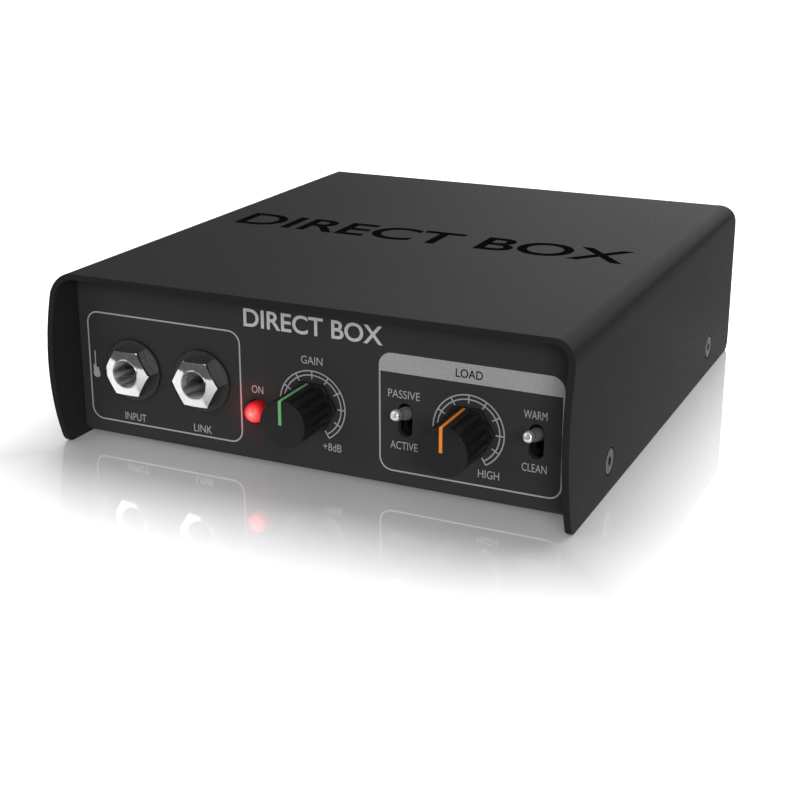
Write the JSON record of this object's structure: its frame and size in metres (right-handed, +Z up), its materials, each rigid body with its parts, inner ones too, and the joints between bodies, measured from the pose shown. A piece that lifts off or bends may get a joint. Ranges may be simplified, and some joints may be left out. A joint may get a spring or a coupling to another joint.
{
  "type": "direct injection box",
  "caption": "Small black steel box that turns an instrument's jack signal into a balanced line, with turning controls, lever switches and a power lamp on its front panel.",
  "frame": {"origin": "on the floor, under the middle of the object's bounding box", "axes": "+X to the right seen from the front, +Y from the front panel to the rear panel, +Z up"},
  "size_m": [0.1242, 0.1436, 0.041],
  "materials": {
    "black_sheet_steel": "matte black powder coat with a fine texture",
    "black_screw": "black oxide, satin",
    "black_washer": "black, satin",
    "nickel": "bright nickel plate, polished",
    "gold_contact": "plain spring bronze",
    "black_plastic": "black moulded plastic, fine grain",
    "knob_black": "soft matte black",
    "pointer_green": "green paint",
    "pointer_orange": "orange paint",
    "lamp_red": "red, lit, clear lens",
    "rubber": "black, dull",
    "circuit_board": "green solder resist"
  },
  "bodies": {
    "casing": {"amplifier_1": "black_plastic", "amplifier_2": "black_plastic", "board_post_front_left": "nickel", "board_post_front_right": "nickel", "board_post_rear_left": "nickel", "board_post_rear_right": "nickel", "board_screw_front_left": "black_screw", "board_screw_front_right": "black_screw", "board_screw_rear_left": "black_screw", "board_screw_rear_right": "black_screw", "capacitor_1": "black_plastic", "capacitor_2": "black_plastic", "capacitor_3": "black_plastic", "circuit_board": "circuit_board", "cover": "black_sheet_steel", "cover_screw_front_left": "black_screw", "cover_screw_front_right": "black_screw", "cover_screw_rear_left": "black_screw", "cover_screw_rear_right": "black_screw", "foot_pad_front_left": "rubber", "foot_pad_front_right": "rubber", "foot_pad_rear_left": "rubber", "foot_pad_rear_right": "rubber", "gain_control_body": "black_plastic", "input_jack_body": "black_plastic", "input_jack_bushing": "nickel", "input_jack_nut": "nickel", "input_jack_spring": "gold_contact", "input_jack_washer": "black_washer", "lift_switch_body": "nickel", "link_jack_body": "black_plastic", "link_jack_bushing": "nickel", "link_jack_nut": "nickel", "link_jack_spring": "gold_contact", "link_jack_washer": "black_washer", "load_switch_body": "black_plastic", "output_insert": "black_plastic", "output_pin_1": "nickel", "output_pin_2": "nickel", "output_pin_3": "nickel", "output_screw_lower": "black_screw", "output_screw_upper": "black_screw", "output_shell": "nickel", "power_lamp": "lamp_red", "tone_control_body": "black_plastic", "tray": "black_sheet_steel", "voice_switch_body": "black_plastic"},
    "gain_dial": {"gain_control_shaft": "nickel", "gain_knob": "knob_black", "gain_pointer": "pointer_green"},
    "tone_dial": {"tone_control_shaft": "nickel", "tone_knob": "knob_black", "tone_pointer": "pointer_orange"},
    "load_lever": {"load_switch_lever": "nickel"},
    "voice_lever": {"voice_switch_lever": "nickel"},
    "lift_slider": {"lift_switch_slider": "black_plastic"}
  },
  "joints": [
    {"name": "gain_turn", "type": "hinge", "parent": "casing", "child": "gain_dial", "pos_m": [0.0006, -0.0581, 0.0165], "axis": [0, 1, 0], "range_deg": [-150, 150]},
    {"name": "tone_turn", "type": "hinge", "parent": "casing", "child": "tone_dial", "pos_m": [0.0371, -0.0581, 0.0165], "axis": [0, 1, 0], "range_deg": [-150, 150]},
    {"name": "load_flip", "type": "hinge", "parent": "casing", "child": "load_lever", "pos_m": [0.0227, -0.0518, 0.0165], "axis": [1, 0, 0], "range_deg": [0, 28]},
    {"name": "voice_flip", "type": "hinge", "parent": "casing", "child": "voice_lever", "pos_m": [0.0519, -0.0518, 0.0165], "axis": [1, 0, 0], "range_deg": [0, 28]},
    {"name": "lift_slide", "type": "slide", "parent": "casing", "child": "lift_slider", "axis": [1, 0, 0], "range_m": [0, 0.004]}
  ]
}
